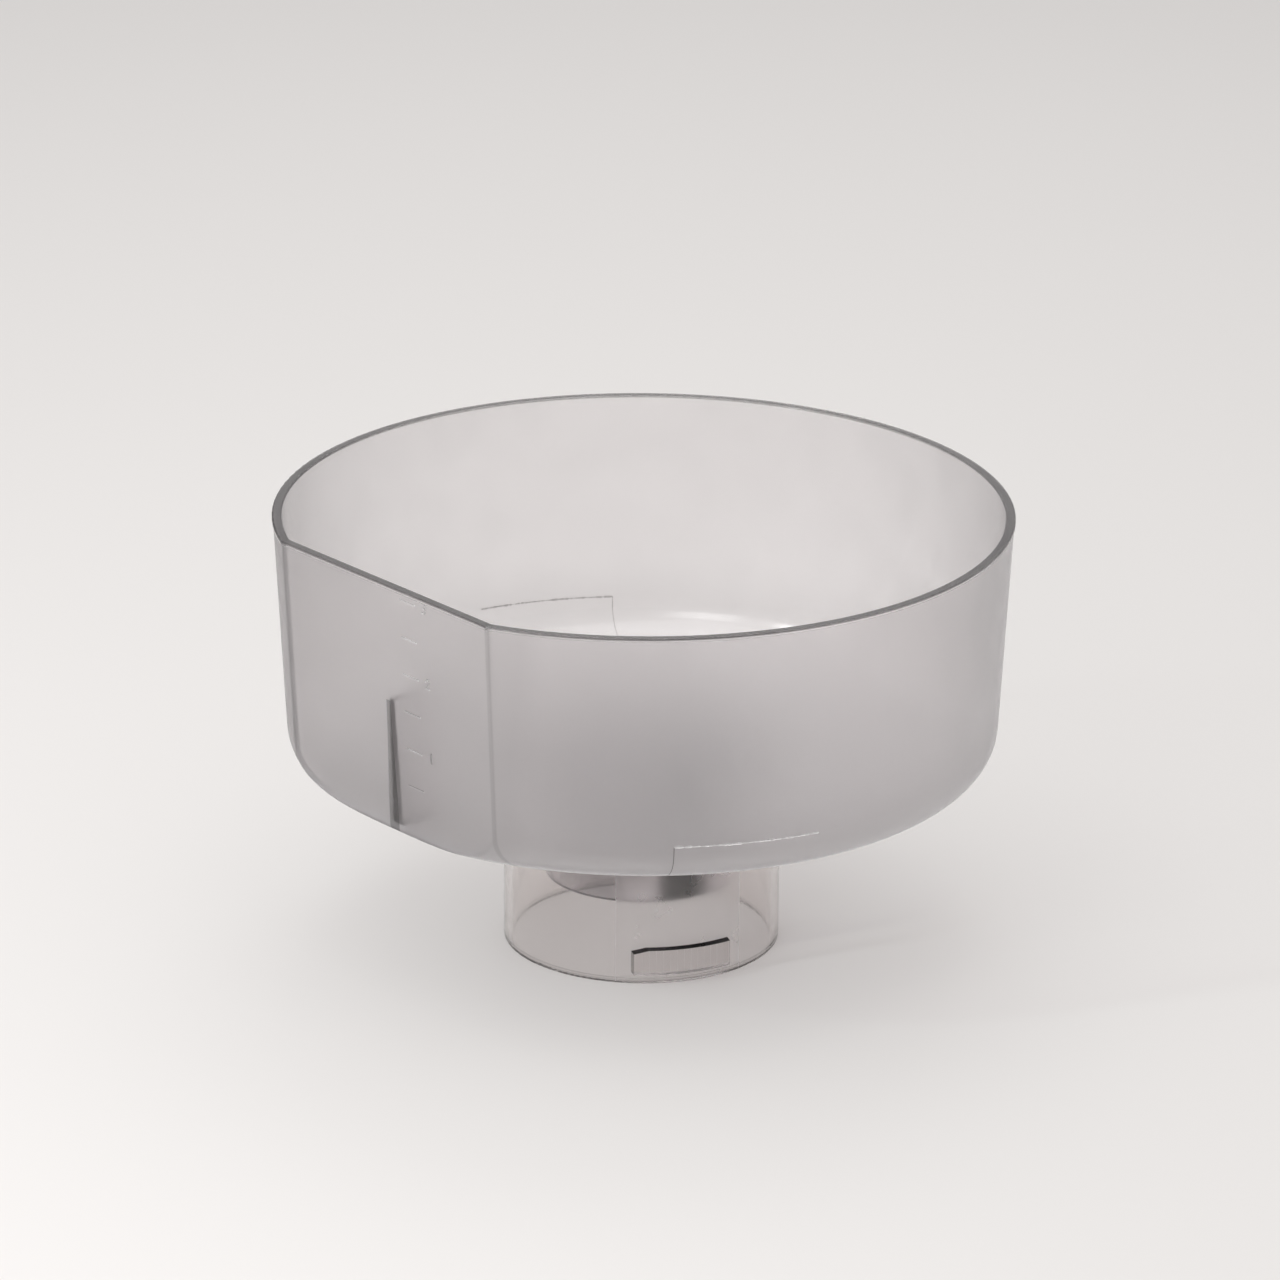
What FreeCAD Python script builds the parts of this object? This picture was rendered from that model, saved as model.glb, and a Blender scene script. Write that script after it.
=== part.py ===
import FreeCAD, Part
import math
import os

import Sketcher

# Mixing bowl of smoke-tinted plastic for a kitchen machine: a round bowl with one flat side,
# a kneading fin inside that side, a litre scale outside it, and a bayonet foot below.
#
# Millimetres. +Z is up and the table is at Z = 0. The origin is on the axis of the round wall,
# on the table. Each body is drawn with the flat side towards -Y and is then turned about Z,
# so that the flat side lies on the diagonal between -X and -Y.

DOC = FreeCAD.newDocument("mixing_bowl")
SHEET = DOC.addObject("Spreadsheet::Sheet", "Sizes")

PAST = 5.0  # how far a cutting shape reaches past what it cuts

SIZES = [
    # The bowl
    ("overall_height", 144.0, "table to rim"),
    ("rim_radius", 118.0, "outside of the band round the rim"),
    ("rim_band_height", 1.2, "height of that band"),
    ("rim_band_proud", 0.3, "how far the band stands out from the wall"),
    ("rim_round", 0.5, "rounding of the rim's two edges"),
    ("bowl_wall", 2.8, "thickness of wall and floor"),
    ("wall_draft", 3.2, "lean of the wall, degrees from vertical"),
    ("bottom_round", 15.0, "outside radius where the round wall meets the floor"),
    ("flat_depth", 11.4, "how far the flat side cuts into the round rim"),
    ("flat_edge_round", 2.0, "outside rounding of the edges of the flat side"),
    ("flat_turn", -45.0, "turn of the flat side about Z, degrees from -Y"),
    # The foot
    ("foot_height", 60.0, "table to the underside of the bowl"),
    ("foot_radius", 44.4, "outside of the foot ring"),
    ("foot_wall", 2.6, "thickness of the foot ring"),
    ("foot_edge_round", 0.6, "rounding of the ring's bottom edges"),
    ("collar_radius", 31.0, "outside of the centring collar in the foot"),
    ("collar_wall", 2.4, "thickness of the collar"),
    ("collar_lift", 23.0, "table to the collar's lower edge"),
    # The bayonet lugs
    ("lug_turn", 66.5, "from the flat side to the front lug about Z, degrees"),
    ("lug_half_width", 16.0, "half of the lug's width across the direction that it faces"),
    ("lug_proud", 3.0, "how far the lug stands out from the ring"),
    ("lug_height", 8.3, "height of the lug"),
    ("lug_lift", 4.2, "table to the lug's lower face"),
    ("lead_length", 4.5, "length of the lead-in slope on the lug's leading end"),
    ("lead_drop", 1.2, "depth of the lead-in slope"),
    # The kneading fin
    ("fin_height", 42.0, "floor to the top of the fin"),
    ("fin_depth", 16.0, "how far the fin reaches in from the flat side, at the floor"),
    ("fin_base", 4.6, "thickness of the fin at the floor"),
    ("fin_tip", 2.1, "thickness of the fin at its top"),
    ("fin_round", 5.0, "rounding of the fin's upper inner corner"),
    # The scale on the flat side
    ("half_litre_step", 12.5, "height between two dashes"),
    ("first_dash_rise", 15.6, "floor to the half-litre dash"),
    ("dash_start", 8.3, "from the middle of the flat side to the dashes"),
    ("dash_length", 7.5, "length of a dash"),
    ("mark_stroke", 0.5, "width of the lines of the scale"),
    ("mark_relief", 0.3, "how far the scale stands out from the flat side"),
    ("numeral_gap", 3.4, "from a dash to its numeral"),
    ("numeral_height", 3.6, "height of a numeral"),
    ("numeral_clearance", 0.05, "least gap between a numeral and the band round the rim"),
]

# Sizes worked out from the ones above.
DERIVED = [
    ("wall_lean", "=tan(wall_draft)", "how far the wall leans in for each mm down"),
    ("bowl_height", "=overall_height - foot_height", "underside of the bowl to the rim"),
    ("wall_radius", "=rim_radius - rim_band_proud", "outside of the round wall at the rim"),
    ("wall_radius_low", "=wall_radius - bowl_height * wall_lean", "the same, at the underside"),
    ("flat_distance", "=wall_radius - flat_depth", "axis to the flat side at the rim"),
    ("floor_height", "=foot_height + bowl_wall", "table to the inside of the floor"),
    ("wall_along_y", "=bowl_wall / cos(wall_draft)", "thickness of the flat side, level"),
]


def fill_sheet():
    """Writes the sizes in, one row each: name, value, meaning."""
    for row, (name, value, meaning) in enumerate(SIZES + DERIVED, start=1):
        SHEET.set(f"A{row}", name)
        SHEET.set(f"B{row}", str(value))
        SHEET.set(f"C{row}", meaning)
        SHEET.setAlias(f"B{row}", name)
    # The draft is a plain number in the sheet, so its tangent and cosine are taken in degrees.
    for row, (name, value, _meaning) in enumerate(DERIVED, start=len(SIZES) + 1):
        SHEET.set(f"B{row}", value.replace("(wall_draft)", "(wall_draft * 1 deg)"))
    DOC.recompute()


def size(name):
    """Value of one size, as a plain number."""
    return float(getattr(SHEET, name))


def bind(obj, prop, formula):
    """Ties a property to the sheet. In the formula, sizes stand under their own names."""
    text = formula
    for name in sorted((row[0] for row in SIZES + DERIVED), key=len, reverse=True):
        text = text.replace(f"[{name}]", f"Sizes.{name}")
    obj.setExpression(prop, text)


def plane_of(body, role):
    """One of the body's own origin planes."""
    return next(item for item in body.Origin.OriginFeatures if item.Role == role)


def new_body(label, turn="[flat_turn]", lift="0"):
    """A body with its own name, turned about Z and lifted from the table."""
    body = DOC.addObject("PartDesign::Body", label)
    body.Label = label
    place = "create(<<placement>>; create(<<vector>>; 0; 0; {}); " \
            "create(<<rotation>>; create(<<vector>>; 0; 0; 1); {}))"
    bind(body, "Placement", place.format(lift, turn))
    return body


def new_sketch(body, role, name, height=None):
    """A sketch on an origin plane of the body, raised by a formula if one is given."""
    sketch = body.newObject("Sketcher::SketchObject", name)
    sketch.AttachmentSupport = [(plane_of(body, role), "")]
    sketch.MapMode = "FlatFace"
    if height:
        bind(sketch, "AttachmentOffset.Base.z", height)
    return sketch


def dimension(sketch, kind, args, formula, name):
    """Adds a dimension whose value comes from a formula."""
    index = sketch.addConstraint(Sketcher.Constraint(kind, *args))
    sketch.renameConstraint(index, name)
    bind(sketch, f"Constraints.{name}", formula)


def draw_polygon(sketch, corners, name="corner"):
    """Closed polygon. Each corner is a rough place, then the formulas that fix x and y."""
    count = len(corners)
    lines = []
    for i in range(count):
        start = FreeCAD.Vector(*corners[i][0], 0)
        end = FreeCAD.Vector(*corners[(i + 1) % count][0], 0)
        lines.append(sketch.addGeometry(Part.LineSegment(start, end)))
    for line, following in zip(lines, lines[1:] + lines[:1]):
        sketch.addConstraint(Sketcher.Constraint("Coincident", line, 2, following, 1))
    for i, (place, x_formula, y_formula) in enumerate(corners):
        at_x = (-1, 1, lines[i], 1, place[0])
        at_y = (-1, 1, lines[i], 1, place[1])
        dimension(sketch, "DistanceX", at_x, x_formula, f"{name}_{i}_x")
        dimension(sketch, "DistanceY", at_y, y_formula, f"{name}_{i}_y")


def draw_circle(sketch, radius_formula, name):
    """Circle on the axis."""
    circle = Part.Circle(FreeCAD.Vector(), FreeCAD.Vector(0, 0, 1), 10)
    index = sketch.addGeometry(circle)
    sketch.addConstraint(Sketcher.Constraint("Coincident", index, 3, -1, 1))
    dimension(sketch, "Radius", (index, 10), radius_formula, name)


def draw_flatted_circle(sketch, radius, distance, names):
    """Circle about the axis, cut by a straight line on the -Y side."""
    rough_radius, radius_formula = radius
    rough_distance, distance_formula = distance
    corner = math.asin(-rough_distance / rough_radius)
    half = math.sqrt(rough_radius ** 2 - rough_distance ** 2)
    circle = Part.Circle(FreeCAD.Vector(), FreeCAD.Vector(0, 0, 1), rough_radius)
    arc = sketch.addGeometry(Part.ArcOfCircle(circle, corner, math.pi - corner))
    left = FreeCAD.Vector(-half, -rough_distance, 0)
    right = FreeCAD.Vector(half, -rough_distance, 0)
    line = sketch.addGeometry(Part.LineSegment(left, right))
    sketch.addConstraint(Sketcher.Constraint("Coincident", arc, 3, -1, 1))
    sketch.addConstraint(Sketcher.Constraint("Coincident", arc, 2, line, 1))
    sketch.addConstraint(Sketcher.Constraint("Coincident", line, 2, arc, 1))
    sketch.addConstraint(Sketcher.Constraint("Horizontal", line))
    dimension(sketch, "Radius", (arc, rough_radius), radius_formula, names[0])
    dimension(sketch, "DistanceY", (line, 1, -1, 1, rough_distance), distance_formula, names[1])


def add_pad(body, sketch, name, length):
    pad = body.newObject("PartDesign::Pad", name)
    pad.Profile = sketch
    bind(pad, "Length", length)
    DOC.recompute()
    return pad


def add_pocket(body, sketch, name):
    """Cuts the sketch through the whole body, both ways, and makes sure that it cut."""
    before = body.Shape.Volume
    pocket = body.newObject("PartDesign::Pocket", name)
    pocket.Profile = sketch
    pocket.Type = "ThroughAll"
    pocket.Midplane = True
    DOC.recompute()
    if not body.Shape.Volume < before - 1e-3:
        raise RuntimeError(f"{name} cut nothing")
    return pocket


def add_fillet(body, name, radius, wanted):
    """Rounds the edges of the body's last feature for which wanted(edge) is true."""
    base = body.Tip
    edges = [f"Edge{i}" for i, edge in enumerate(base.Shape.Edges, start=1) if wanted(edge)]
    if not edges:
        raise RuntimeError(f"{name} found no edge")
    fillet = body.newObject("PartDesign::Fillet", name)
    fillet.Base = (base, edges)
    bind(fillet, "Radius", radius)
    DOC.recompute()
    return fillet


def level_edge(height):
    """Test for an edge that lies wholly at one height."""
    def wanted(edge):
        box = edge.BoundBox
        return abs(box.ZMin - height) < 1e-3 and abs(box.ZMax - height) < 1e-3
    return wanted


def leaning_blank(body, name, radii, height, lift):
    """Solid cone frustum, wider at the top."""
    blank = body.newObject("PartDesign::AdditiveCone", name)
    bind(blank, "Radius1", radii[0])
    bind(blank, "Radius2", radii[1])
    bind(blank, "Height", height)
    bind(blank, "Placement.Base.z", lift)
    DOC.recompute()
    return blank


def cut_flat_side(body, name, distance):
    """Cuts away all that lies beyond a leaning plane, which is at a given distance at the rim."""
    section = new_sketch(body, "YZ_Plane", name + "Line")
    top = size("overall_height") + PAST
    low = size("foot_height") - PAST
    near = -size("flat_distance")
    far = -2 * size("rim_radius")
    line_top = f"-({distance} + {PAST} * [wall_lean])"
    line_low = f"-({distance} - ([bowl_height] + {PAST}) * [wall_lean])"
    draw_polygon(section, [
        ((near, top), line_top, f"[overall_height] + {PAST}"),
        ((near, low), line_low, f"[foot_height] - {PAST}"),
        ((far, low), "-2 * [rim_radius]", f"[foot_height] - {PAST}"),
        ((far, top), "-2 * [rim_radius]", f"[overall_height] + {PAST}"),
    ])
    add_pocket(body, section, name)


def bowl_cavity():
    """The room inside the bowl, one wall thickness in from the outside. It reaches past the rim."""
    body = DOC.addObject("PartDesign::Body", "bowl_cavity")
    radius_low = "[wall_radius] - ([bowl_height] - [bowl_wall]) * [wall_lean] - [wall_along_y]"
    radius_top = f"[wall_radius] + {PAST} * [wall_lean] - [wall_along_y]"
    leaning_blank(body, "InnerBlank", (radius_low, radius_top), f"[bowl_height] - [bowl_wall] + {PAST}",
                  "[floor_height]")
    add_fillet(body, "InnerRound", "[bottom_round] - [bowl_wall]", level_edge(size("floor_height")))
    cut_flat_side(body, "InnerFlat", "([flat_distance] - [wall_along_y])")
    return body


def bowl_shell():
    """The bowl: a leaning round wall, the flat side, the floor and the band round the rim."""
    body = new_body("bowl_shell")
    radii = ("[wall_radius_low]", "[wall_radius]")
    leaning_blank(body, "OuterBlank", radii, "[bowl_height]", "[foot_height]")
    add_fillet(body, "BottomRound", "[bottom_round]", level_edge(size("foot_height")))
    cut_flat_side(body, "FlatSide", "[flat_distance]")

    height = size("overall_height")
    lean = math.radians(size("wall_draft"))
    outward = FreeCAD.Vector(0, -math.cos(lean), -math.sin(lean))
    edge_point = FreeCAD.Vector(0, -size("flat_distance"), height)

    def on_flat_side(edge):
        points = edge.discretize(5)
        flat = all(abs((point - edge_point).dot(outward)) < 1e-3 for point in points)
        return flat and not level_edge(height)(edge)
    add_fillet(body, "FlatSideEdges", "[flat_edge_round]", on_flat_side)

    band = new_sketch(body, "XY_Plane", "RimBandOutline", "[overall_height] - [rim_band_height]")
    band_radius = size("rim_radius")
    draw_flatted_circle(band, (band_radius, "[rim_radius]"),
                        (band_radius - size("flat_depth"), "[rim_radius] - [flat_depth]"),
                        ("band_round", "band_flat"))
    add_pad(body, band, "RimBand", "[rim_band_height]")

    hollow = body.newObject("PartDesign::Boolean", "Hollow")
    hollow.Type = "Cut"
    hollow.setObjects([bowl_cavity()])
    DOC.recompute()
    add_fillet(body, "RimEdges", "[rim_round]", level_edge(height))
    return body


def round_ring(label, radius, wall, lift, height, edge_round=None):
    """Plain ring about the axis, with its lower edges rounded if a size is given."""
    body = new_body(label, lift=lift)
    sketch = new_sketch(body, "XY_Plane", label + "_section")
    draw_circle(sketch, radius, "outer")
    draw_circle(sketch, f"{radius} - {wall}", "inner")
    add_pad(body, sketch, label + "_pad", height)
    if edge_round:
        add_fillet(body, label + "_edges", edge_round, level_edge(0.0))
    return body


def bayonet_lug(label, turn):
    """Block on the foot ring, with ends square to the way it faces and one lead-in slope."""
    body = new_body(label, turn=turn, lift="[lug_lift]")
    plan = new_sketch(body, "XY_Plane", label + "_plan")
    half = size("lug_half_width")
    arcs = []
    for radius in (size("foot_radius"), size("foot_radius") + size("lug_proud")):
        circle = Part.Circle(FreeCAD.Vector(), FreeCAD.Vector(0, 0, 1), radius)
        spread = math.asin(half / radius)
        start, end = -math.pi / 2 - spread, -math.pi / 2 + spread
        arcs.append(plan.addGeometry(Part.ArcOfCircle(circle, start, end)))
        plan.addConstraint(Sketcher.Constraint("Coincident", arcs[-1], 3, -1, 1))
    inner, outer = arcs
    for corner, side in ((1, "left"), (2, "right")):
        foot_end = plan.getPoint(inner, corner)
        far_end = plan.getPoint(outer, corner)
        line = plan.addGeometry(Part.LineSegment(foot_end, far_end))
        plan.addConstraint(Sketcher.Constraint("Coincident", line, 1, inner, corner))
        plan.addConstraint(Sketcher.Constraint("Coincident", line, 2, outer, corner))
        plan.addConstraint(Sketcher.Constraint("Vertical", line))
        sign = -1 if side == "left" else 1
        dimension(plan, "DistanceX", (-1, 1, line, 1, sign * half),
                  f"{sign} * [lug_half_width]", "end_" + side)
    dimension(plan, "Radius", (inner, size("foot_radius")), "[foot_radius]", "seat")
    dimension(plan, "Radius", (outer, size("foot_radius") + size("lug_proud")),
              "[foot_radius] + [lug_proud]", "face")
    add_pad(body, plan, label + "_block", "[lug_height]")

    slope = new_sketch(body, "XZ_Plane", label + "_slope")
    top, past = size("lug_height"), 1.0
    rise = f"[lead_drop] / [lead_length] * {past}"
    draw_polygon(slope, [
        ((-half - past, top - size("lead_drop")), f"-[lug_half_width] - {past}",
         f"[lug_height] - [lead_drop] - {rise}"),
        ((-half + size("lead_length") + past, top), f"-[lug_half_width] + [lead_length] + {past}",
         f"[lug_height] + {rise}"),
        ((-half - past, top + past), f"-[lug_half_width] - {past}", f"[lug_height] + {rise}"),
    ])
    add_pocket(body, slope, label + "_lead_in")
    return body


def kneading_fin():
    """Rib that stands on the floor against the inside of the flat side and thins upwards."""
    body = new_body("kneading_fin", lift="[floor_height]")
    outline = new_sketch(body, "YZ_Plane", "FinOutline")
    depth_in_bowl = "([overall_height] - [floor_height])"
    back_low = f"-([flat_distance] - {depth_in_bowl} * [wall_lean] - [wall_along_y])"
    back_top = f"({back_low} - [fin_height] * [wall_lean])"
    front = f"({back_low} + [fin_depth])"
    wall = -(size("flat_distance") - size("bowl_wall"))
    tip = wall + size("fin_depth")
    top = size("fin_height")
    draw_polygon(outline, [
        ((wall, 0), back_low, "0"),
        ((tip, 0), front, "0"),
        ((tip, top), front, "[fin_height]"),
        ((wall, top), back_top, "[fin_height]"),
    ])
    slab = add_pad(body, outline, "FinSlab", "[fin_base]")
    slab.Midplane = True
    DOC.recompute()
    inner_end = body.Tip.Shape.BoundBox.YMax

    def inner_top(edge):
        box = edge.BoundBox
        return level_edge(top)(edge) and abs(box.Center.y - inner_end) < 1e-3 and box.XLength > 1e-3
    add_fillet(body, "FinCorner", "[fin_round]", inner_top)

    sides = new_sketch(body, "XZ_Plane", "FinSides")
    for side in (-1, 1):
        wide = side * 2 * size("fin_base")
        draw_polygon(sides, [
            ((side * size("fin_base") / 2, 0), f"{side} * [fin_base] / 2", "0"),
            ((wide, 0), f"{side} * 2 * [fin_base]", "0"),
            ((wide, top), f"{side} * 2 * [fin_base]", "[fin_height]"),
            ((side * size("fin_tip") / 2, top), f"{side} * [fin_tip] / 2", "[fin_height]"),
        ], "left" if side < 0 else "right")
    add_pocket(body, sides, "FinTaper")
    return body


def scale_placement():
    """Plane of the scale: X along the flat side, Y up its slope, Z out of the bowl."""
    turn = FreeCAD.Rotation(FreeCAD.Vector(0, 0, 1), size("flat_turn"))
    tilt = FreeCAD.Rotation(FreeCAD.Vector(1, 0, 0), 90 + size("wall_draft"))
    top_of_flat = FreeCAD.Vector(0, -size("flat_distance"), size("overall_height"))
    return FreeCAD.Placement(turn.multVec(top_of_flat), turn.multiply(tilt))


def dash_rises():
    """Height of each half-litre dash above the floor, for as many as fit under the band."""
    room = size("overall_height") - size("rim_band_height") - size("mark_stroke") - size("floor_height")
    count = int((room - size("first_dash_rise")) // size("half_litre_step")) + 1
    return [f"([first_dash_rise] + {i} * [half_litre_step])" for i in range(count)]


def volume_dashes():
    """One raised dash for each half litre."""
    dashes = []
    for i, rise in enumerate(dash_rises(), start=1):
        dash = DOC.addObject("Part::Box", f"Dash{i}")
        bind(dash, "Length", "[dash_length]")
        bind(dash, "Width", "[mark_stroke]")
        bind(dash, "Height", "[mark_relief]")
        bind(dash, "Placement.Base.x", "[dash_start]")
        drop = f"([overall_height] - [floor_height] - {rise})"
        bind(dash, "Placement.Base.y", f"-{drop} / cos([wall_draft] * 1 deg) - [mark_stroke] / 2")
        dashes.append(dash)
    group = DOC.addObject("Part::Compound", "volume_dashes")
    group.Label = "volume_dashes"
    group.Links = dashes
    group.Placement = scale_placement()
    DOC.recompute()
    return group


def glyph_lines(figure):
    """Middle line of a numeral as edges, in a box 1 high."""
    def at(x, y):
        return FreeCAD.Vector(x, y, 0)
    if figure == 1:
        return [Part.LineSegment(at(0.12, 0.76), at(0.34, 1.0)),
                Part.LineSegment(at(0.34, 1.0), at(0.34, 0.0))]
    if figure == 2:
        return [Part.Arc(at(0.05, 0.74), at(0.36, 0.98), at(0.50, 0.58)),
                Part.LineSegment(at(0.50, 0.58), at(0.04, 0.0)),
                Part.LineSegment(at(0.04, 0.0), at(0.60, 0.0))]
    return [Part.LineSegment(at(0.06, 1.0), at(0.52, 1.0)),
            Part.LineSegment(at(0.52, 1.0), at(0.26, 0.62)),
            Part.Arc(at(0.26, 0.62), at(0.52, 0.22), at(0.03, 0.08))]


def volume_numerals():
    """The numerals 1, 2, 3 beside every second dash, or just under the band where that is lower."""
    solids = []
    scale = size("numeral_height") - size("mark_stroke")
    half_stroke = size("mark_stroke") / 2
    lean = math.cos(math.radians(size("wall_draft")))
    under_band = -size("rim_band_height") / lean - size("numeral_clearance")
    highest_middle = under_band - size("numeral_height") / 2
    for figure, i in enumerate(range(1, len(dash_rises()), 2), start=1):
        wire = Part.Wire([line.toShape() for line in glyph_lines(figure)])
        wire = wire.scaled(scale)
        outline = wire.makeOffset2D(half_stroke, 0, False, False)
        solid = Part.Face(outline).extrude(FreeCAD.Vector(0, 0, size("mark_relief")))
        rise = size("first_dash_rise") + i * size("half_litre_step")
        drop = size("overall_height") - size("floor_height") - rise
        middle = min(-drop / lean, highest_middle)
        left = size("dash_start") + size("dash_length") + size("numeral_gap")
        solid.translate(FreeCAD.Vector(left, middle - scale / 2, 0))
        solids.append(solid)
    numerals = DOC.addObject("Part::Feature", "volume_numerals")
    numerals.Label = "volume_numerals"
    numerals.Shape = Part.makeCompound(solids)
    numerals.Placement = scale_placement()
    return numerals


def check_document():
    """Stops if any object of the document has failed."""
    for obj in DOC.Objects:
        if "Invalid" in obj.State or "Error" in obj.State:
            raise RuntimeError(f"{obj.Label} failed: {obj.State}")


def export(nodes):
    os.makedirs("parts", exist_ok=True)
    for node in nodes:
        shape = node.Shape
        if shape.isNull() or not shape.isValid() or not shape.Solids:
            raise RuntimeError(f"{node.Label} has no valid solid")
    for node in nodes:
        node.Shape.exportStep(f"parts/{node.Label}.step")
        box = node.Shape.BoundBox
        print(f"{node.Label}: {len(node.Shape.Solids)} solids, {node.Shape.Volume / 1000:.2f} cm3,"
              f" Z {box.ZMin:.2f} to {box.ZMax:.2f}")


def main():
    fill_sheet()
    rest_of_foot = "[foot_height] - [collar_lift]"
    nodes = [
        bowl_shell(),
        kneading_fin(),
        volume_dashes(),
        volume_numerals(),
        round_ring("foot_ring", "[foot_radius]", "[foot_wall]", "0", "[foot_height]",
                   "[foot_edge_round]"),
        bayonet_lug("bayonet_lug_front", "[flat_turn] + [lug_turn]"),
        bayonet_lug("bayonet_lug_rear", "[flat_turn] + [lug_turn] + 180"),
        round_ring("centring_collar", "[collar_radius]", "[collar_wall]", "[collar_lift]",
                   rest_of_foot),
    ]
    DOC.recompute()
    check_document()
    export(nodes)


main()
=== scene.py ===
"""Looks of the smoke-tinted mixing bowl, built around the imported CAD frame. Metres, +Z up."""
import math
import random

import bpy
from mathutils import Matrix, Vector


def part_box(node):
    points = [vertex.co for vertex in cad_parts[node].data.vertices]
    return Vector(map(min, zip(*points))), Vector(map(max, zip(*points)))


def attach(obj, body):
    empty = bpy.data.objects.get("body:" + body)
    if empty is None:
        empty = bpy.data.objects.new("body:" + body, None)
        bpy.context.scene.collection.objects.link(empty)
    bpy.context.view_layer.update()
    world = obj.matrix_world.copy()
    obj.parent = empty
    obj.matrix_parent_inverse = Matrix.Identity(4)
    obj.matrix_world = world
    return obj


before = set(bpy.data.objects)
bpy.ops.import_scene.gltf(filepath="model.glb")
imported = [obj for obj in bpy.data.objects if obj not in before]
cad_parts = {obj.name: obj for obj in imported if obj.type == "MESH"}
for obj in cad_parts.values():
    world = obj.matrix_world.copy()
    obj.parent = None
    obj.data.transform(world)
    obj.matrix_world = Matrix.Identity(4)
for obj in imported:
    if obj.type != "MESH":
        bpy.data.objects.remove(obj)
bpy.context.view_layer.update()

MM = 0.001

# Sizes of the object, read from the frame.
BOWL_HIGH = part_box("bowl_shell")[1]
RING_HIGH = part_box("foot_ring")[1]
RIM_RADIUS = BOWL_HIGH.x
RIM_HEIGHT = BOWL_HIGH.z
FOOT_HEIGHT = RING_HIGH.z
RING_RADIUS = RING_HIGH.x

# Sizes that the frame doesn't give, the same as the CAD's.
WALL = 2.8 * MM
BAND_PROUD = 0.3 * MM
BAND_HEIGHT = 1.2 * MM
DRAFT = math.radians(3.2)
LEAN = math.tan(DRAFT)
WALL_LEVEL = WALL / math.cos(DRAFT)
BOTTOM_ROUND = 15.0 * MM
FIN_HEIGHT = 42.0 * MM
FIN_BASE = 4.6 * MM
FIN_TIP = 2.1 * MM
FLAT_DEPTH = 11.4 * MM
FLAT_TURN = math.radians(-45.0)
WALL_RADIUS = RIM_RADIUS - BAND_PROUD
FLAT_DISTANCE = WALL_RADIUS - FLAT_DEPTH
FLAT_HALF_WIDTH = math.sqrt(WALL_RADIUS ** 2 - FLAT_DISTANCE ** 2)
FLAT_NARROWS = 0.0127       # half width that the flat side loses for each metre down
NEAR_FLAT = 85 * MM         # what reaches further towards the flat side is on it or by its edges
FIN_TOP = FOOT_HEIGHT + WALL + FIN_HEIGHT
QUARTER_TURN = math.radians(90)

# The mould's slides pull out along the way the front lug faces, and the opposite way.
SLIDE_TURN = FLAT_TURN + math.radians(66.5)
SLIDE_HALF_ANGLE = 27.5
SLIDE_HALF_WIDTH = RING_RADIUS * math.sin(math.radians(SLIDE_HALF_ANGLE))

# Parting lines of the bowl: the level one's height, and its first and last turn about Z from -Y,
# in degrees. An upright one drops from its first end.
SLIDE_TOP = FOOT_HEIGHT + 14.2 * MM
SLIDE_ENDS = {"front": (9.5, 33.1), "rear": (189.7, 212.9)}
SLIDE_STEPS = 90
DROP_STEPS = 24
DROP_LEANS = 1.0            # how far the upright line has turned at its lower end, in degrees
DROP_ABOVE_UNDERSIDE = 0.35 * MM
FLASH_UNEVEN = 0.85         # share by which its thickness varies
FLASH_SEED = 5
FLASH_THICK = 0.45 * MM
DROP_THICK = 0.26 * MM
RING_LINE_THICK = 0.16 * MM
RING_LINE_LOW = 0.8 * MM

# Lamps: turn and rise in degrees, distance, side of the square in metres, power in watts.
LAMPS = {"key": (-20.0, 38.0, 1.3, 0.45, 3.2),
         "left": (-57.0, 35.0, 1.6, 0.10, 7.4),
         "back": (176.0, 55.0, 1.6, 0.7, 3.9),
         "top": (-50.0, 78.0, 3.0, 2.6, 39.0)}
LAMP_AIM = Vector((0, 0, 80 * MM))

# The camera stands a little to +X of -Y and looks down on the bowl.
CAMERA_TURN = math.radians(4.5)
CAMERA_RISE = math.radians(20.231)
CAMERA_DISTANCE = 2.638
CAMERA_FIELD = math.radians(8.855)
CAMERA_ROLL = math.radians(0.357)
AIM_HEIGHT = 100.3 * MM
AIM_ASIDE = -0.96 * MM


# ---------------------------------------------------------------- materials

def new_material(name):
    """An empty node material and its tree."""
    material = bpy.data.materials.new(name)
    material.use_nodes = True
    material.node_tree.nodes.clear()
    return material, material.node_tree


def add_node(tree, kind, inputs=None, **settings):
    """A node with its plain inputs and settings filled in."""
    node = tree.nodes.new(kind)
    for key, value in settings.items():
        setattr(node, key, value)
    for key, value in (inputs or {}).items():
        node.inputs[key].default_value = value
    return node


def math_node(tree, operation, first, second=None):
    """One sum on sockets or numbers. Returns its output."""
    node = add_node(tree, "ShaderNodeMath", operation=operation)
    for socket, value in zip(node.inputs, (first, second)):
        if value is None:
            continue
        if isinstance(value, (int, float)):
            socket.default_value = value
        else:
            tree.links.new(value, socket)
    return node.outputs[0]


def map_range(tree, value, from_low, from_high, to_low, to_high):
    """Maps a socket's value from one range to another, smoothly and held at both ends."""
    node = add_node(tree, "ShaderNodeMapRange", interpolation_type="SMOOTHSTEP",
                    inputs={"From Min": from_low, "From Max": from_high,
                            "To Min": to_low, "To Max": to_high})
    tree.links.new(value, node.inputs["Value"])
    return node.outputs["Result"]


def place_in_object(tree):
    """Where a point of the surface is on the object, in metres."""
    return add_node(tree, "ShaderNodeTexCoord").outputs["Object"]


def noise(tree, place, scale, detail=2.0, stretch=(1.0, 1.0, 1.0)):
    """Value noise on the object, one blotch about 1 / scale metres across."""
    mapping = add_node(tree, "ShaderNodeMapping", inputs={"Scale": stretch})
    tree.links.new(place, mapping.inputs["Vector"])
    texture = add_node(tree, "ShaderNodeTexNoise", inputs={"Scale": scale, "Detail": detail})
    tree.links.new(mapping.outputs["Vector"], texture.inputs["Vector"])
    return texture.outputs["Fac"]


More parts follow.
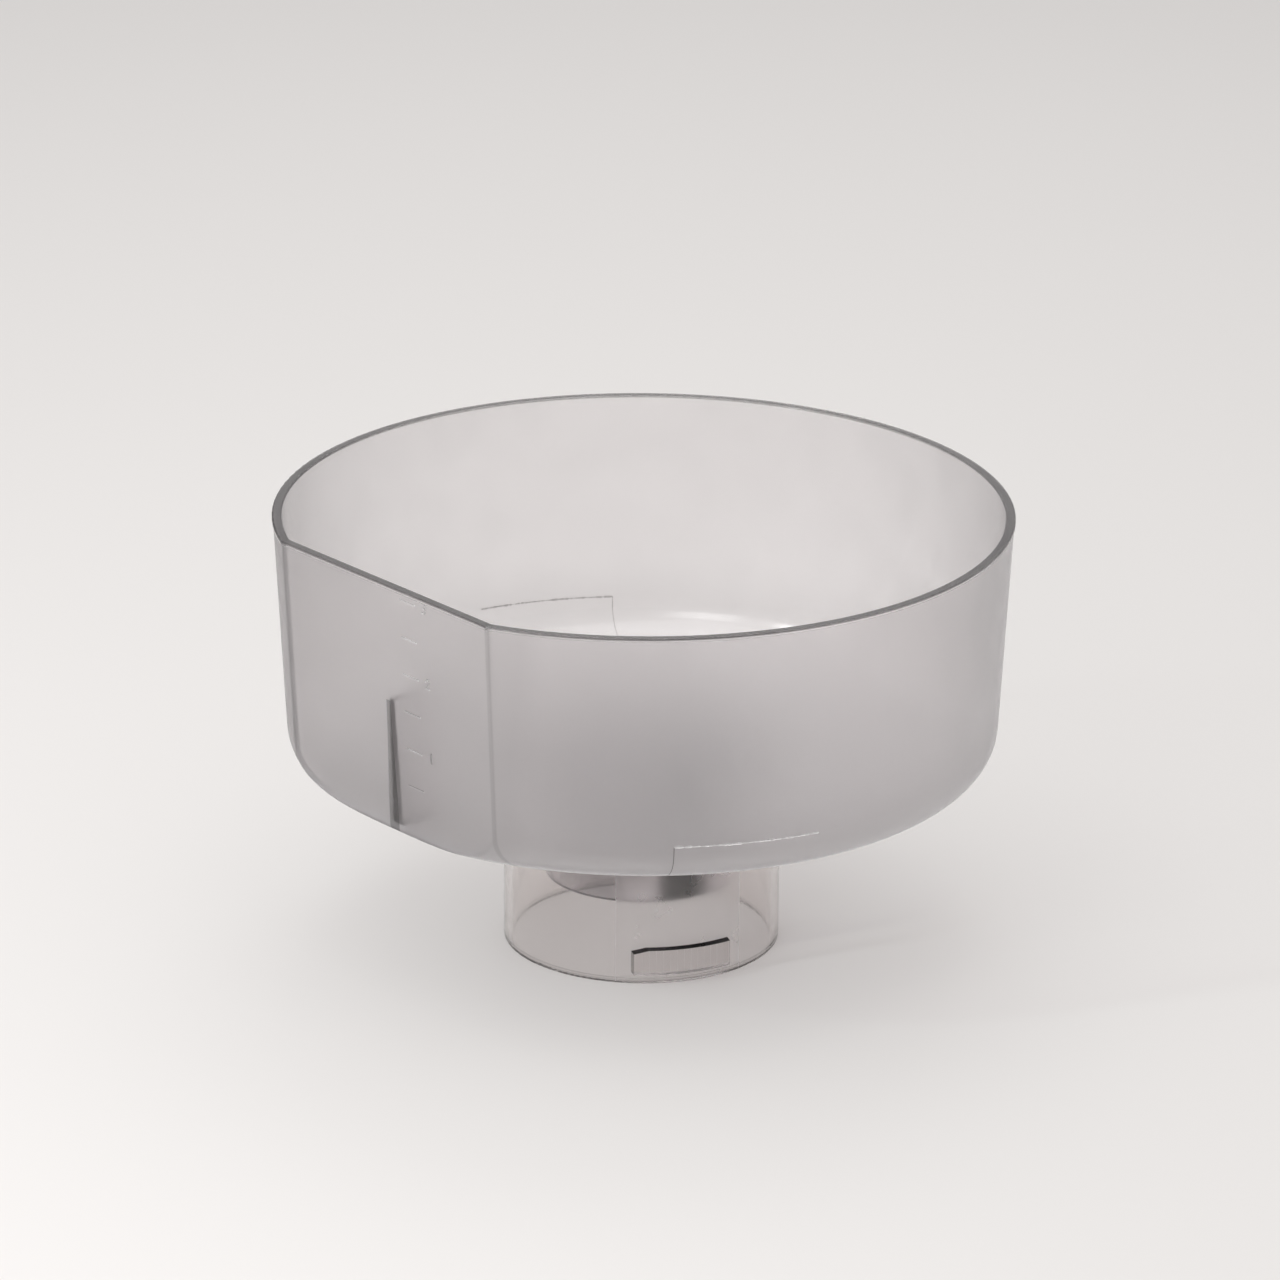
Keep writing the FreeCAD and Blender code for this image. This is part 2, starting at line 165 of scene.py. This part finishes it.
def tint_between(tree, factor, low, high):
    """A colour between two, by a factor."""
    node = add_node(tree, "ShaderNodeMix", data_type="RGBA")
    node.inputs[6].default_value = (*low, 1.0)
    node.inputs[7].default_value = (*high, 1.0)
    tree.links.new(factor, node.inputs[0])
    return node.outputs[2]


def bump(tree, height, strength, distance):
    """A normal tilted by a height."""
    node = add_node(tree, "ShaderNodeBump", inputs={"Strength": strength, "Distance": distance})
    tree.links.new(height, node.inputs["Height"])
    return node.outputs["Normal"]


def multiply_tint(tree, colour, shade):
    """A colour times a grey factor."""
    node = add_node(tree, "ShaderNodeMix", data_type="RGBA", blend_type="MULTIPLY")
    node.inputs[0].default_value = 1.0
    tree.links.new(colour, node.inputs[6])
    tree.links.new(shade, node.inputs[7])
    return node.outputs[2]


def smoke_glass(name, surface, smoke, density, passes, make_roughness, make_bump=None,
                make_shade=None, distribution="MULTI_GGX"):
    """Smoke-tinted plastic: glass that darkens with depth. Its surface tint varies by 2%, and
    make_shade gives a grey factor that darkens parts of it. Lamps shine through it, dimmed by
    passes at each surface."""
    material, tree = new_material(name)
    place = place_in_object(tree)
    shader = add_node(tree, "ShaderNodeBsdfPrincipled",
                      inputs={"Transmission Weight": 1.0, "IOR": 1.5})
    shader.distribution = distribution
    darker = tuple(0.98 * part for part in surface)
    tint = tint_between(tree, noise(tree, place, 18.0, 3.0), surface, darker)
    if make_shade:
        tint = multiply_tint(tree, tint, make_shade(tree, place))
    tree.links.new(tint, shader.inputs["Base Color"])
    tree.links.new(make_roughness(tree, place), shader.inputs["Roughness"])
    if make_bump:
        tree.links.new(make_bump(tree, place), shader.inputs["Normal"])
    clear = add_node(tree, "ShaderNodeBsdfTransparent", inputs={"Color": (*passes, 1.0)})
    light_path = add_node(tree, "ShaderNodeLightPath")
    mix = add_node(tree, "ShaderNodeMixShader")
    inside = add_node(tree, "ShaderNodeVolumeAbsorption",
                      inputs={"Color": (*smoke, 1.0), "Density": density})
    output = add_node(tree, "ShaderNodeOutputMaterial")
    tree.links.new(light_path.outputs["Is Shadow Ray"], mix.inputs[0])
    tree.links.new(shader.outputs[0], mix.inputs[1])
    tree.links.new(clear.outputs[0], mix.inputs[2])
    tree.links.new(mix.outputs[0], output.inputs["Surface"])
    tree.links.new(inside.outputs[0], output.inputs["Volume"])
    return material


def split(tree, vector):
    """The X, Y and Z of a vector, as sockets."""
    parts = add_node(tree, "ShaderNodeSeparateXYZ")
    tree.links.new(vector, parts.inputs[0])
    return parts.outputs["X"], parts.outputs["Y"], parts.outputs["Z"]


def surface_normal(tree):
    """The surface's own normal as X, Y and Z, the same from both of its sides."""
    geometry = add_node(tree, "ShaderNodeNewGeometry")
    sign = math_node(tree, "SUBTRACT", 1.0,
                     math_node(tree, "MULTIPLY", geometry.outputs["Backfacing"], 2.0))
    return [math_node(tree, "MULTIPLY", part, sign)
            for part in split(tree, geometry.outputs["Normal"])]


def along(tree, x, y, turn):
    """How far a point or direction reaches towards a turn about Z from -Y."""
    return math_node(tree, "ADD", math_node(tree, "MULTIPLY", x, math.sin(turn)),
                     math_node(tree, "MULTIPLY", y, -math.cos(turn)))


def between(tree, value, low, high, soft):
    """1 where a value lies between two others, with soft ends."""
    above = map_range(tree, value, low - soft, low + soft, 0.0, 1.0)
    below = map_range(tree, value, high - soft, high + soft, 1.0, 0.0)
    return math_node(tree, "MULTIPLY", above, below)


def outside_share(tree, place):
    """1 on the outside of the bowl and its underside, 0 on its inside and on top of the rim."""
    x, y, _z = split(tree, place)
    normal_x, normal_y, normal_z = surface_normal(tree)
    outward = math_node(tree, "ADD", math_node(tree, "MULTIPLY", x, normal_x),
                        math_node(tree, "MULTIPLY", y, normal_y))
    downward = math_node(tree, "MULTIPLY", normal_z, -RIM_RADIUS / 2)
    return math_node(tree, "GREATER_THAN", math_node(tree, "ADD", outward, downward), 0.0)


def bowl_roughness(tree, place):
    """Frosted outside and half polished inside, with a polished band round the rim."""
    frosted = map_range(tree, noise(tree, place, 60.0, 4.0), 0.3, 0.7, 0.40, 0.47)
    below_band = math_node(tree, "LESS_THAN", split(tree, place)[2],
                           RIM_HEIGHT - BAND_HEIGHT - 0.1 * MM)
    frost_here = math_node(tree, "MULTIPLY", outside_share(tree, place), below_band)
    polished = math_node(tree, "MULTIPLY", math_node(tree, "SUBTRACT", 1.0, frost_here), 0.20)
    return math_node(tree, "ADD", math_node(tree, "MULTIPLY", frosted, frost_here), polished)


def product(tree, *factors):
    """Several values multiplied together."""
    total = factors[0]
    for factor in factors[1:]:
        total = math_node(tree, "MULTIPLY", total, factor)
    return total


def bowl_shade(tree, place):
    """Painted shade: darker round the rim, low on the wall and along its lower edge, on the flat
    side, along the flat side's upright edges and where the fin stands behind it."""
    x, y, z = split(tree, place)
    # painted shade: a dark rim, and darker low on the outside of the wall and along its lower edge
    rim = map_range(tree, z, RIM_HEIGHT - 0.9 * MM, RIM_HEIGHT - 0.3 * MM, 1.0, 0.25)
    low = map_range(tree, z, FOOT_HEIGHT + 6 * MM, FOOT_HEIGHT + 32 * MM, 0.80, 1.0)
    underside = map_range(tree, z, FOOT_HEIGHT + 0.9 * MM, FOOT_HEIGHT + 2.4 * MM, 0.45, 1.0)
    outside = outside_share(tree, place)
    low_outside = math_node(tree, "ADD", 1.0, product(tree, outside,
                            math_node(tree, "SUBTRACT", product(tree, low, underside), 1.0)))
    drop = math_node(tree, "SUBTRACT", RIM_HEIGHT, z)
    # painted shade: the flat side a little darker, with dark lines along its upright edges
    half_width = math_node(tree, "SUBTRACT", FLAT_HALF_WIDTH,
                           math_node(tree, "MULTIPLY", drop, FLAT_NARROWS))
    on_side = math_node(tree, "GREATER_THAN", along(tree, x, y, FLAT_TURN), NEAR_FLAT)
    aside = along(tree, x, y, FLAT_TURN + QUARTER_TURN)
    offset = math_node(tree, "SUBTRACT", math_node(tree, "ABSOLUTE", aside), half_width)
    line = between(tree, offset, -0.8 * MM, 0.8 * MM, 0.4 * MM)
    edges = math_node(tree, "SUBTRACT", 1.0, product(tree, line, on_side, outside, 0.3))
    # painted shade: a dark strip on the outside of the wall, where the fin's root stands behind it
    fin_half = map_range(tree, z, FOOT_HEIGHT + WALL, FIN_TOP, FIN_BASE / 2, FIN_TIP / 2)
    off_fin = math_node(tree, "SUBTRACT", math_node(tree, "ABSOLUTE", aside), fin_half)
    by_fin = map_range(tree, off_fin, -0.15 * MM, 0.15 * MM, 1.0, 0.0)
    below_top = math_node(tree, "LESS_THAN", z, FIN_TOP)
    fin_root_painted_shade = math_node(tree, "SUBTRACT", 1.0,
                     product(tree, by_fin, below_top, on_side, outside, 0.72))
    on_flat = map_range(tree, along(tree, x, y, FLAT_TURN), 95 * MM, 101 * MM, 0.0, 0.14)
    flat = math_node(tree, "SUBTRACT", 1.0, product(tree, outside, on_flat))
    return product(tree, rim, low_outside, fin_root_painted_shade, flat, edges)


def mark_shade(tree, place):
    """Marks hardly paler than the wall that they stand on, varying at random, with painted shade on
    their upper edges.
    """
    # painted shade on the faces that point up
    upper = map_range(tree, surface_normal(tree)[2], 0.3, 0.7, 1.0, 0.35)
    return product(tree, upper, map_range(tree, noise(tree, place, 120.0), 0.3, 0.7, 0.9, 0.96))


def bowl_bump(tree, place):
    """Fine grain of the frosted mould, with level scratches and specks low on the wall."""
    grain = noise(tree, place, 2600.0, 2.0)
    streaks = noise(tree, place, 260.0, 3.0, stretch=(1.0, 1.0, 9.0))
    marks = map_range(tree, streaks, 0.60, 0.72, 0.0, 7.0)
    low_wall = between(tree, split(tree, place)[2],
                       FOOT_HEIGHT + 12 * MM, FOOT_HEIGHT + 42 * MM, 8 * MM)
    patchy = map_range(tree, noise(tree, place, 22.0, 1.0), 0.45, 0.65, 0.0, 1.0)
    scratches = math_node(tree, "MULTIPLY", math_node(tree, "MULTIPLY", marks, low_wall), patchy)
    return bump(tree, math_node(tree, "ADD", grain, scratches), 0.10, 0.03 * MM)


def polished_roughness(tree, place):
    """Almost smooth all over."""
    return map_range(tree, noise(tree, place, 90.0, 3.0), 0.3, 0.7, 0.03, 0.07)


def ring_roughness(tree, place):
    """Clear, with a hazier patch on the outside from each of the mould's two slides."""
    x, y, z = split(tree, place)
    patch = between(tree, along(tree, x, y, SLIDE_TURN + QUARTER_TURN),
                    -SLIDE_HALF_WIDTH, SLIDE_HALF_WIDTH, 0.1 * MM)
    faces_slide = math_node(tree, "ABSOLUTE", along(tree, x, y, SLIDE_TURN))
    in_front = math_node(tree, "GREATER_THAN", faces_slide, RING_RADIUS / 2)
    above_edge = math_node(tree, "GREATER_THAN", z, 2.2 * MM)
    haze = product(tree, patch, in_front, above_edge, outside_share(tree, place), 0.24)
    return math_node(tree, "ADD", polished_roughness(tree, place), haze)


def ring_shade(tree, place):
    """Painted shade: two dark lines along the edge that the ring stands on, and a darker top."""
    z = split(tree, place)[2]
    lowest = map_range(tree, z, 0.15 * MM, 0.45 * MM, 0.25, 1.0)
    second = map_range(tree, between(tree, z, 1.0 * MM, 1.5 * MM, 0.15 * MM), 0.0, 1.0, 1.0, 0.62)
    top = map_range(tree, z, FOOT_HEIGHT - 26 * MM, FOOT_HEIGHT - 4 * MM, 1.0, 0.9)
    return product(tree, lowest, second, top)


def lug_roughness(tree, place):
    """Polished, but matt underneath, where the mould opens."""
    normal_z = surface_normal(tree)[2]
    underneath = map_range(tree, normal_z, -0.8, -0.5, 0.2, 0.0)
    return math_node(tree, "ADD", polished_roughness(tree, place), underneath)


def flash_roughness(tree, place):
    """Rough all over, like torn plastic."""
    return map_range(tree, noise(tree, place, 90.0), 0.3, 0.7, 0.6, 0.8)


def lug_shade(tree, _place):
    """Painted shade, black on top of a lug and dark on both of its ends."""
    normal_x, normal_y, normal_z = surface_normal(tree)
    on_top = map_range(tree, normal_z, 0.3, 0.6, 1.0, 0.0)
    aside = along(tree, normal_x, normal_y, SLIDE_TURN + QUARTER_TURN)
    on_end = map_range(tree, math_node(tree, "ABSOLUTE", aside), 0.85, 0.95, 1.0, 0.25)
    return math_node(tree, "MULTIPLY", on_top, on_end)


def fin_shade(tree, place):
    """Painted shade, darker where the fin meets the flat side."""
    x, y, z = split(tree, place)
    drop = math_node(tree, "SUBTRACT", RIM_HEIGHT, z)
    root = math_node(tree, "SUBTRACT", FLAT_DISTANCE - WALL_LEVEL,
                     math_node(tree, "MULTIPLY", drop, LEAN))
    from_root = math_node(tree, "SUBTRACT", root, along(tree, x, y, FLAT_TURN))
    return map_range(tree, from_root, 0.05 * MM, 0.5 * MM, 0.35, 1.0)


def collar_shade(tree, place):
    """Clouded with darker patches, and one dark band a little to +X on both sides."""
    x, _y, _z = split(tree, place)
    patches = map_range(tree, noise(tree, place, 34.0, 2.0), 0.35, 0.65, 0.6, 1.1)
    side = map_range(tree, between(tree, x, 8 * MM, 21 * MM, 5 * MM), 0.0, 1.0, 0.85, 0.08)
    return product(tree, side, patches)


# ---------------------------------------------------------------- pieces

def dress(node, material):
    """Gives a CAD node a material."""
    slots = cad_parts[node].data.materials
    slots.clear()
    slots.append(material)


def outer_profile(height):
    """Radius of the bowl's outside at a height, round the bottom edge too."""
    straight = WALL_RADIUS - (RIM_HEIGHT - height) * LEAN
    centre_height = FOOT_HEIGHT + BOTTOM_ROUND
    tangent_height = centre_height - BOTTOM_ROUND * math.sin(DRAFT)
    if height >= tangent_height:
        return straight
    radius_there = WALL_RADIUS - (RIM_HEIGHT - tangent_height) * LEAN
    centre_radius = radius_there - BOTTOM_ROUND * math.cos(DRAFT)
    below = centre_height - height
    return centre_radius + math.sqrt(max(0.0, BOTTOM_ROUND ** 2 - below ** 2))


def at_turn(turn, radius, height):
    """A point at a turn about Z from -Y, in degrees."""
    a = math.radians(turn)
    return Vector((radius * math.sin(a), -radius * math.cos(a), height))


def ridge(name, points, thickness, material, uneven=0.0, seed=1):
    """A hair-thin raised line along points, of even or ragged thickness."""
    chance = random.Random(seed)
    curve = bpy.data.curves.new(name, "CURVE")
    curve.dimensions = "3D"
    curve.bevel_depth = thickness / 2
    curve.bevel_resolution = 1
    curve.use_fill_caps = True
    spline = curve.splines.new("POLY")
    spline.points.add(len(points) - 1)
    for place, point in zip(spline.points, points):
        place.co = (*point, 1.0)
        place.radius = 1.0 + uneven * chance.uniform(-1.0, 1.0)
    piece = bpy.data.objects.new(name, curve)
    bpy.context.scene.collection.objects.link(piece)
    curve.materials.append(material)
    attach(piece, "root")
    return piece


def slide_lines(flash, line, seam):
    """Parting lines that the mould's two slides leave on the wall and on the foot ring. The front
    upright line is given a dark painted shade, and the rear lines a greyer painted shade of the
    white flash.
    """
    for side, (first, last) in SLIDE_ENDS.items():
        turns = [first + (last - first) * i / SLIDE_STEPS for i in range(SLIDE_STEPS + 1)]
        level = [at_turn(turn, outer_profile(SLIDE_TOP), SLIDE_TOP) for turn in turns]
        ridge(f"slide_flash_{side}", level, FLASH_THICK, flash if side == "front" else seam,
              FLASH_UNEVEN, FLASH_SEED)
        drop = []
        for i in range(DROP_STEPS + 1):
            share = i / DROP_STEPS
            height = SLIDE_TOP + (FOOT_HEIGHT + DROP_ABOVE_UNDERSIDE - SLIDE_TOP) * share
            drop.append(at_turn(first - DROP_LEANS * share ** 4, outer_profile(height), height))
        ridge(f"slide_line_{side}_left", drop, DROP_THICK, line if side == "front" else seam)
    lug_turn = math.degrees(SLIDE_TURN)
    for side, turn in (("front", lug_turn), ("rear", lug_turn + 180)):
        for end, offset in (("left", -SLIDE_HALF_ANGLE), ("right", SLIDE_HALF_ANGLE)):
            upright = [at_turn(turn + offset, RING_RADIUS, height)
                       for height in (RING_LINE_LOW, FOOT_HEIGHT)]
            ridge(f"ring_line_{side}_{end}", upright, RING_LINE_THICK, flash)


# ---------------------------------------------------------------- studio

def studio_floor():
    """Wide sheet of pale paper."""
    material, tree = new_material("studio_paper")
    shader = add_node(tree, "ShaderNodeBsdfPrincipled",
                      inputs={"Roughness": 0.9, "Specular IOR Level": 0.1})
    blotches = noise(tree, place_in_object(tree), 3.0)
    tint = tint_between(tree, blotches, (0.81, 0.788, 0.775), (0.82, 0.798, 0.785))
    tree.links.new(tint, shader.inputs["Base Color"])
    output = add_node(tree, "ShaderNodeOutputMaterial")
    tree.links.new(shader.outputs[0], output.inputs["Surface"])
    bpy.ops.mesh.primitive_plane_add(size=30.0)
    floor = bpy.context.active_object
    floor.name = "studio_floor"
    floor.data.materials.append(material)


def softbox(name, turn, rise, distance, side, power):
    """Square area lamp at a turn about Z from -Y and a rise above the floor, in degrees."""
    data = bpy.data.lights.new(name, "AREA")
    data.shape = "RECTANGLE"
    data.size = side
    data.size_y = side
    data.energy = power
    lamp = bpy.data.objects.new(name, data)
    bpy.context.scene.collection.objects.link(lamp)
    a = math.radians(turn)
    e = math.radians(rise)
    back = Vector((math.sin(a) * math.cos(e), -math.cos(a) * math.cos(e), math.sin(e)))
    lamp.location = LAMP_AIM + back * distance
    lamp.rotation_mode = "QUATERNION"
    lamp.rotation_quaternion = (-back).to_track_quat("-Z", "Y")


def studio_world():
    """Bright above and behind the object, dark round the rest of the horizon."""
    world = bpy.data.worlds.new("studio")
    bpy.context.scene.world = world
    world.use_nodes = True
    tree = world.node_tree
    tree.nodes.clear()
    direction = add_node(tree, "ShaderNodeTexCoord").outputs["Generated"]
    parts = add_node(tree, "ShaderNodeSeparateXYZ")
    tree.links.new(direction, parts.inputs[0])
    overhead = map_range(tree, parts.outputs["Z"], 0.05, 0.7, 0.02, 0.34)
    behind = map_range(tree, parts.outputs["Y"], 0.35, 0.9, 0.0, 0.46)
    strength = math_node(tree, "ADD", overhead, behind)
    background = add_node(tree, "ShaderNodeBackground", inputs={"Color": (1.0, 0.99, 0.98, 1.0)})
    tree.links.new(strength, background.inputs["Strength"])
    output = add_node(tree, "ShaderNodeOutputWorld")
    tree.links.new(background.outputs[0], output.inputs["Surface"])


def place_camera():
    """Camera that looks down on the bowl from a little to +X of -Y."""
    data = bpy.data.cameras.new("camera")
    data.sensor_fit = "HORIZONTAL"
    data.angle = CAMERA_FIELD
    data.clip_end = 50.0
    camera = bpy.data.objects.new("camera", data)
    bpy.context.scene.collection.objects.link(camera)
    right = Vector((math.cos(CAMERA_TURN), math.sin(CAMERA_TURN), 0))
    back = Vector((math.sin(CAMERA_TURN) * math.cos(CAMERA_RISE),
                   -math.cos(CAMERA_TURN) * math.cos(CAMERA_RISE), math.sin(CAMERA_RISE)))
    target = Vector((0, 0, AIM_HEIGHT)) + AIM_ASIDE * right
    camera.location = target + back * CAMERA_DISTANCE
    upright = (-back).to_track_quat("-Z", "Y").to_matrix().to_4x4()
    roll = Matrix.Rotation(CAMERA_ROLL, 4, "Z")
    camera.matrix_world = Matrix.Translation(camera.location) @ upright @ roll
    bpy.context.scene.camera = camera


def set_look():
    """Plain view transform, and enough bounces for light to pass through several walls."""
    scene = bpy.context.scene
    scene.view_settings.view_transform = "Standard"
    scene.cycles.use_denoising = True
    scene.cycles.max_bounces = 24
    scene.cycles.transmission_bounces = 20
    scene.cycles.glossy_bounces = 8
    scene.cycles.transparent_max_bounces = 24
    scene.cycles.caustics_refractive = False
    scene.cycles.caustics_reflective = False
    scene.cycles.sample_clamp_indirect = 6.0


def main():
    """Makes the materials, the parting lines and the studio."""
    frosted = smoke_glass("smoke_frosted", (1.0, 0.98, 0.985), (0.62, 0.575, 0.60), 18.0,
                          (0.992, 0.988, 0.988), bowl_roughness, bowl_bump, bowl_shade, "GGX")
    ring = smoke_glass("smoke_ring", (0.925, 0.90, 0.892), (0.62, 0.58, 0.57), 30.0,
                       (0.992, 0.988, 0.988), ring_roughness, make_shade=ring_shade)
    lug = smoke_glass("smoke_lug", (0.95, 0.935, 0.93), (0.62, 0.58, 0.57), 40.0,
                      (0.975, 0.97, 0.97), lug_roughness, make_shade=lug_shade)
    collar = smoke_glass("smoke_collar", (0.95, 0.93, 0.96), (0.60, 0.55, 0.60), 40.0,
                         (0.99, 0.99, 0.99), polished_roughness, make_shade=collar_shade)
    fin = smoke_glass("smoke_fin", (0.97, 0.96, 0.965), (0.62, 0.57, 0.58), 62.0,
                      (0.97, 0.97, 0.97), polished_roughness, make_shade=fin_shade)
    flash = smoke_glass("smoke_flash", (1.0, 1.0, 1.0), (0.9, 0.9, 0.9), 10.0, (0.97, 0.97, 0.97),
                        flash_roughness)
    # painted shade: a dark copy for the front upright parting line, and a grey copy of the white
    # flash for the rear lines
    line = smoke_glass("smoke_line", (0.22, 0.20, 0.20), (0.5, 0.5, 0.5), 100.0, (0.97, 0.97, 0.97),
                       polished_roughness)
    seam = smoke_glass("smoke_seam", (0.62, 0.60, 0.60), (0.5, 0.5, 0.5), 60.0, (0.97, 0.97, 0.97),
                       polished_roughness)
    marks = smoke_glass("smoke_marks", (0.97, 0.96, 0.965), (0.62, 0.57, 0.58), 46.0,
                        (0.98, 0.975, 0.975), bowl_roughness, make_shade=mark_shade)
    looks = {"bowl_shell": frosted, "volume_dashes": marks, "volume_numerals": marks,
             "kneading_fin": fin, "foot_ring": ring, "bayonet_lug_front": lug,
             "bayonet_lug_rear": lug, "centring_collar": collar}
    for node, material in looks.items():
        dress(node, material)
    slide_lines(flash, line, seam)
    studio_floor()
    for name, lamp in LAMPS.items():
        softbox(name, *lamp)
    studio_world()
    place_camera()
    set_look()


main()
